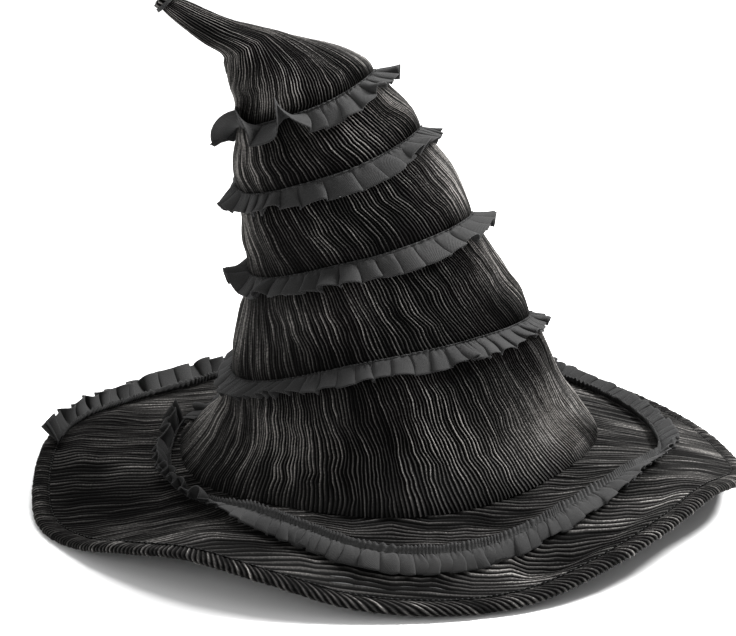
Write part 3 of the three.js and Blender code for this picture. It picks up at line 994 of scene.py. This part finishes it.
def ruffle_frames(heading, below):
    """Unit directions at each column: along the seam, down the ruffle and out of the hat."""
    way = unit(np.gradient(heading, axis=0))
    down = unit(below - heading)
    out = unit(np.cross(way, down))
    return way, down, out


def strip_profile(across, width, start, end, header_angle):
    """Distance down the hat and out of it at each row of a strip, and its angle off the hat."""
    free = np.clip(across, 0, 1)
    steps = np.diff(free, axis=0, prepend=0)
    angle = start + (end - start) * free
    header = np.clip(-across, 0, None)
    down = np.cumsum(steps * np.cos(angle), axis=0) - header * np.cos(header_angle)
    out = np.cumsum(steps * np.sin(angle), axis=0) + header * np.sin(header_angle)
    return down * width, out * width, angle


def gathered_strip(name, heading, below, header, seed, **shape):
    """A strip stitched along its heading, with folds that open towards its free edge.

    Per column, shape gives the strip's width, the angles off the hat at which it starts and
    ends, and the depth and fold (width) of its folds. header is the share left above the seam.
    """
    way, down, out = ruffle_frames(heading, below)
    steps = np.linalg.norm(np.diff(heading, axis=0), axis=1)
    distance = np.concatenate([[0], np.cumsum(steps)])
    uneven = 1 + 0.4 * noise(distance / 21, 0, seed) + 0.25 * noise(distance / 10, 0, seed + 1)
    phase = running_total(1 / (shape["fold"] * uneven), distance)
    samples = np.arange(0, phase[-1], 1 / FOLD_COLUMNS)

    def resampled(values):
        values = np.asarray(values, float)
        if values.ndim == 1:
            return np.interp(samples, phase, values)
        return np.stack([np.interp(samples, phase, values[:, k]) for k in range(3)], -1)

    heading, way, down, out, distance = (resampled(a) for a in (heading, way, down, out, distance))
    keys = ("width", "start", "end", "depth", "fold")
    width, start, end, depth, fold = (resampled(shape[key]) for key in keys)
    whole = np.floor(samples + 0.5)
    lean = 0.8 * noise(whole * 0.5, 0, seed + 2) + 0.5 * noise(samples / 5, 0, seed + 3)
    size = np.clip(1 + 0.6 * noise(samples, 0, seed + 4), 0.4, 1.6)
    across = np.concatenate([[-header, -header * 0.5], np.linspace(0, 1, 12)])[:, None]
    free = np.clip(across, 0, 1)
    open_up = free ** 0.6
    flat_top = (0.5 + 0.5 * np.cos(FULL_TURN * samples)) ** 0.45
    sideways = (0.3 * np.sin(FULL_TURN * samples) + 0.25 * lean * flat_top) * open_up
    sideways = fold * (sideways + 0.16 * noise(samples, free * 2, seed + 5) * open_up)
    width = width * (1 + 0.12 * noise(samples * 2, 0, seed + 6))
    start = np.radians(start)
    end = np.radians(end) + 0.16 * noise(samples * 1.3, 0, seed + 7)
    drop, stand, angle = strip_profile(across, width, start, end, HEADER_ANGLE)
    slope = 0.35 * lean * np.sin(FULL_TURN * samples)
    deep = depth * size * (flat_top + slope) * open_up
    puckers = np.cos(6 * np.pi * samples + 5 * noise(samples * 0.8, 0, seed + 8))
    puckers = puckers * (0.75 + 0.6 * noise(samples * 1.7, 0, seed + 9))
    small = 0.4 * puckers * np.exp(-((across - 0.1) / 0.22) ** 2)
    header_folds = 0.9 * puckers * np.clip(-across / header, 0, 1)
    stand = stand + deep * np.cos(angle) + HEADING_LIFT + small + header_folds
    drop = drop - deep * np.sin(angle)
    along_seam = heading[None] + way[None] * sideways[..., None]
    points = along_seam + down[None] * drop[..., None] + out[None] * stand[..., None]
    cloth = thicken(points, CLOTH_THICKNESS)
    uv = (samples[None, :] * RUFFLE_FOLD_CLOTH, doubled(across) * RUFFLE_CLOTH_WIDTH)
    piece = grid_piece(name, cloth, TWILL, uv, wrap_rows=True)
    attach(piece, "hat")
    return piece, heading, way, out, distance


def heading_stitches(name, heading, way, out, distance):
    places = np.arange(1.5, distance[-1], 3.2)

    def sampled(values):
        return np.stack([np.interp(places, distance, values[:, k]) for k in range(3)], -1)

    centres = sampled(heading) + sampled(out) * 1.45
    stitch_row(name, centres, unit(sampled(way)), unit(sampled(out)), 2.2, 0.55)


def crown_ruffle():
    turn = np.linspace(RUFFLE_START, RUFFLE_END, 4000)
    angle = turn_angle(turn)
    height = crown_seam(turn) - 0.02
    heading = crown_point(angle, height, -1.9)
    below = crown_point(angle, np.maximum(height - 0.12, 0.001), -1.9)
    right = np.clip(np.cos(angle), 0, 1)
    left = np.clip(-np.cos(angle - 0.5), 0, 1)
    flipped = bumps(turn, FLIPS)
    loose = smoothstep((turn - LOOSE_FROM) / 0.08)
    loops = bumps(turn, LOOPS)
    start = 8 + 16 * right ** 2 + 16 * left ** 3 + 6 * noise(turn * 30, 0, 40) + 0.5 * flipped + 20 * loops
    end = 16 + 28 * right ** 2 + 24 * left ** 3 + 9 * noise(turn * 30, 0, 44) + flipped + 35 * loops
    depth = 4.4 + 1.8 * noise(turn * 9, 0, 41) + 1.5 * loose + 3 * loops
    width = 13 + 1.4 * noise(turn * 8, 0, 42) + 3.5 * loose + 3 * loops
    width = width * (0.55 + 0.45 * smoothstep(turn / 0.2))
    fold = 9.5 + 2 * noise(turn * 5, 0, 45) + 7 * loose + 4 * loops
    shape = {"width": width, "start": start, "end": end, "depth": depth, "fold": fold}
    piece, *row = gathered_strip("ruffle_on_crown", heading, below, 0.08, 50, **shape)
    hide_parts(*[f"crown_ruffle_{n}" for n in range(1, 5)])
    heading_stitches("ruffle_stitches_crown", *row)


def brim_ruffle():
    turn = np.linspace(-1, 0.04, 2600)
    angle = turn_angle(turn)
    share = brim_seam(turn)

    def place(at, lift):
        radius = HEAD_OPENING_RADIUS + (BRIM_RADIUS - HEAD_OPENING_RADIUS) * at
        return on_brim(*polar(radius, angle), lift)

    ridge = front_ridge(turn)
    heading = place(share, BRIM_TOP + 0.3 + ridge)
    below = place(share + 0.04, BRIM_TOP + 0.3 + ridge)
    standing = np.clip(np.cos(angle - math.radians(145)), 0, 1) ** 0.7
    looped = smoothstep((turn + 0.2) / 0.1)
    hung = ridge / FRONT_RIDGE
    start = 50 - 12 * standing - 60 * hung + 6 * noise(turn * 26, 0, 46)
    end = 38 + (20 + 26 * noise(turn * 26, 0, 48)) * standing - 100 * hung
    depth = 2.0 + 2.6 * standing + 2.4 * looped + 0.8 * noise(turn * 24, 0, 43)
    width = 11 + 2 * standing - 2 * looped + 1.2 * noise(turn * 18, 0, 47)
    fold = 8 + 4 * standing
    shape = {"width": width, "start": start, "end": end, "depth": depth, "fold": fold}
    piece, *row = gathered_strip("ruffle_on_brim", heading, below, 0.4, 60, **shape)
    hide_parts(*[f"brim_ruffle_{n}" for n in range(1, 4)])
    heading_stitches("ruffle_stitches_brim", *row)


# --- inside the hat -----------------------------------------------------------------------

def crown_lining():
    """A thin lining: straight into the head opening, and a slack cone above."""
    around = circle(240)[None, :]
    height = np.concatenate([[0, 0.25, 0.5, 0.75], np.linspace(1, LINING_TOP, 70)])[:, None]
    radius = np.minimum(crown_radius(height) - 6.0, LINING_RADIUS)
    slack = smoothstep((height - 0.6) / 1.5)
    turned = around / FULL_TURN
    wrinkles = 0.9 * noise(turned * 16, height * 1.3, 71) + 0.5 * noise(turned * 32, height * 3, 72)
    seams = -1.1 * np.exp(-((np.mod(around, np.pi / 2) - 0.4) / 0.02) ** 2)
    radius = radius + (np.minimum(wrinkles, 0.4) + seams) * slack - 0.6 * slack
    closing = smoothstep((LINING_TOP - height) / 0.25) ** 0.5
    radius = radius * np.maximum(closing, 0.02)
    points = crown_frame(*polar(radius, around), height)
    arc = arc_at(height)
    piece = grid_piece("lining_cone", points, LINING, (around * 90, arc), wrap_columns=True)
    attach(piece, "hat")
    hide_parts("crown_lining")


def sweatband():
    """A ribbon round the head opening, its lower edge turned out and sewn under the brim."""
    around = np.linspace(0, FULL_TURN, 361)[None, :]
    under = on_brim(*polar(BAND_SEAM_RADIUS, around), -BRIM_TOP - 0.9)[..., 2]
    rows = [
        (BAND_RADIUS + 0.7, BAND_TOP - 0.1),
        (BAND_RADIUS + 0.4, BAND_TOP - 0.8),
        (BAND_RADIUS + 0.3, BAND_TOP - 6),
        (BAND_RADIUS + 0.2, BAND_TOP - 11),
        (BAND_RADIUS + 0.3, BAND_TOP - 16),
        (BAND_RADIUS + 0.4, BAND_BOTTOM + 2.5),
        (BAND_RADIUS + 0.9, BAND_BOTTOM + 1.0),
        (BAND_RADIUS + 2.0, BAND_BOTTOM + 0.6),
    ]
    ripple = 0.25 * noise(around / FULL_TURN * 64, 0, 81)
    strip = [stacked(*polar(radius + ripple, around), z) for radius, z in rows]
    for share, radius in ((0.45, 95.0), (0.85, 98.5), (1.0, BAND_SEAM_RADIUS)):
        z = (BAND_BOTTOM + 0.6) * (1 - share) + under * share
        strip.append(stacked(*polar(radius, around), z))
    strip = np.concatenate(strip)
    cloth = thicken(strip, 0.7)
    across = doubled(np.linspace(0, 32, len(strip)))[:, None]
    piece = grid_piece("sweatband_ribbon", cloth, BAND, (around * BAND_RADIUS, across), wrap_rows=True)
    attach(piece, "hat")
    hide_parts("sweatband")


def band_stitches():
    angle = circle(190)
    out = stacked(*polar(1, angle), 0)
    ways = stacked(-np.sin(angle), np.cos(angle), 0)
    centres = out * (BAND_RADIUS - 0.1) + np.array([0, 0, BAND_BOTTOM + 3.0])
    stitch_row("sweatband_stitches", centres, ways, -out, 2.0, 0.5)


def ribbon(path, wide, thickness=0.5):
    """A flat ribbon whose width runs along Z."""
    path = np.asarray(path, float)
    lift = np.linspace(-0.5, 0.5, 5)[:, None, None] * np.array([0, 0, 1.0])
    return thicken(path[None] + lift * np.asarray(wide)[None, :, None], thickness)


def sweatband_bow():
    """Two loops, two tails and a knot, tied on the band at the back."""
    t = np.linspace(0, FULL_TURN, 64)
    centre = np.array([0, BAND_RADIUS - 3.0, BAND_BOTTOM + 14.0])
    strips = []
    for side in (-1, 1):
        loop = np.stack([side * 6.5 * (1 - np.cos(t)), 1.7 * np.sin(t) - 0.5, 1.6 * np.sin(t / 2)], -1)
        wide = 3.0 + 3.2 * np.sin(t / 2) ** 2
        strips.append(ribbon(centre + loop, wide))
        s = np.linspace(0, 1, 24)
        tail = np.stack([side * (1 + 9 * s), 0.3 * np.sin(6 * s), -1 - 8 * s ** 1.2], -1)
        strips.append(ribbon(centre + tail, 3 + 2 * s))
    knot = np.stack([2.2 * np.cos(t), 2.4 * np.sin(t) - 0.4, 0 * t], -1)
    strips.append(ribbon(centre + knot, 5.2 + 0 * t))
    vertices = []
    faces = []
    flat = []
    start = 0
    for cloth in strips:
        rows, columns = cloth.shape[:2]
        faces.append(grid_faces(rows, columns, wrap_rows=True) + start)
        vertices.append(cloth.reshape(-1, 3))
        u, v = np.meshgrid(np.arange(columns) * 0.6, np.arange(rows) * 1.0)
        flat.append(np.stack([u, v], -1).reshape(-1, 2))
        start += rows * columns
    vertices, faces, flat = (np.concatenate(parts) for parts in (vertices, faces, flat))
    piece = make_mesh("bow_ribbon", vertices, faces, BAND, flat)
    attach(piece, "hat")
    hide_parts("sweatband_bow")


def size_label():
    """A blank woven label on the band."""
    u = np.linspace(-1, 1, 45)[None, :]
    v = np.linspace(-1, 1, 17)[:, None]
    angle = math.radians(60) + u * LABEL_HALF_WIDTH / BAND_RADIUS
    bulge = 0.7 * (1 - u ** 2) * (0.5 + 0.5 * v) + 0.12 * noise(u * 4 + 9, v * 3 + 9, 91)
    radius = BAND_RADIUS - 1.0 - bulge + 0.5 * np.abs(u) ** 8
    z = BAND_BOTTOM + 11 + LABEL_HALF_HEIGHT * v
    cloth = thicken(stacked(*polar(radius, angle), z), 0.4)
    uv = (u * LABEL_HALF_WIDTH, doubled(v * LABEL_HALF_HEIGHT))
    piece = grid_piece("blank_label", cloth, LABEL, uv, wrap_rows=True)
    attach(piece, "hat")
    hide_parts("size_label")


def dress_kept_nodes():
    """The hidden board, cone and wire keep their shapes and get their materials."""
    kept = {"brim_board": FELT, "crown_stiffener": FELT, "brim_wire": WIRE, "wire_ferrule": WIRE}
    for name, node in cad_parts.items():
        material = next((kept[start] for start in kept if name.startswith(start)), None)
        if material:
            node.data.materials.clear()
            node.data.materials.append(material)


# --- stage --------------------------------------------------------------------------------

CAMERA_TARGET = [-12, 0, 100]
CAMERA_DISTANCE = 1400
CAMERA_ELEVATION = math.radians(18)
CAMERA_LENS = 118.07


def make_floor():
    mesh = bpy.data.meshes.new("floor")
    size = 12.0
    corners = [(-size, -size, 0), (size, -size, 0), (size, size, 0), (-size, size, 0)]
    mesh.from_pydata(corners, [], [(0, 1, 2, 3)])
    mesh.materials.append(pale_floor())
    floor = add_object("floor", mesh)


def make_camera():
    camera = bpy.data.cameras.new("camera")
    camera.lens = CAMERA_LENS
    camera.sensor_width = 36
    target = Vector(row_frame(CAMERA_TARGET))
    forward = Vector((0, math.cos(CAMERA_ELEVATION), -math.sin(CAMERA_ELEVATION)))
    holder = add_object("camera", camera)
    holder.location = target - forward * CAMERA_DISTANCE * MM
    holder.rotation_euler = forward.to_track_quat("-Z", "Y").to_euler()
    bpy.context.scene.camera = holder


def area_light(name, place, target, size, power):
    light = bpy.data.lights.new(name, "AREA")
    light.shape = "DISK"
    light.size = size
    light.energy = power
    holder = add_object(name, light)
    holder.location = place
    way = Vector(target) - Vector(place)
    holder.rotation_euler = way.to_track_quat("-Z", "Y").to_euler()


def make_lights():
    world = bpy.data.worlds.new("world")
    world.use_nodes = True
    world.node_tree.nodes["Background"].inputs["Color"].default_value = (1, 1, 1, 1)
    world.node_tree.nodes["Background"].inputs["Strength"].default_value = 0.62
    bpy.context.scene.world = world
    middle = (0, 0, 0.12)
    area_light("key", (1.1, 0.25, 1.15), middle, 0.45, 70)
    area_light("top", (0.1, 0.5, 1.8), middle, 0.9, 30)
    area_light("fill", (-1.2, -1.4, 0.9), middle, 1.0, 6)
    scene = bpy.context.scene
    scene.view_settings.view_transform = "Standard"
    scene.view_settings.look = "None"


# --- build --------------------------------------------------------------------------------

make_camera()
make_floor()
make_lights()
crown_cover()
peak_cover()
peak_tip()
peak_thread()
peak_wire()
brim_cover("brim_cover_top", 1, "brim_top_cover", 20)
brim_cover("brim_cover_under", -1, "brim_under_cover", 220)
brim_hem()
hem_stitches()
crown_ruffle()
brim_ruffle()
crown_lining()
sweatband()
band_stitches()
sweatband_bow()
size_label()
dress_kept_nodes()

bpy.context.view_layer.update()
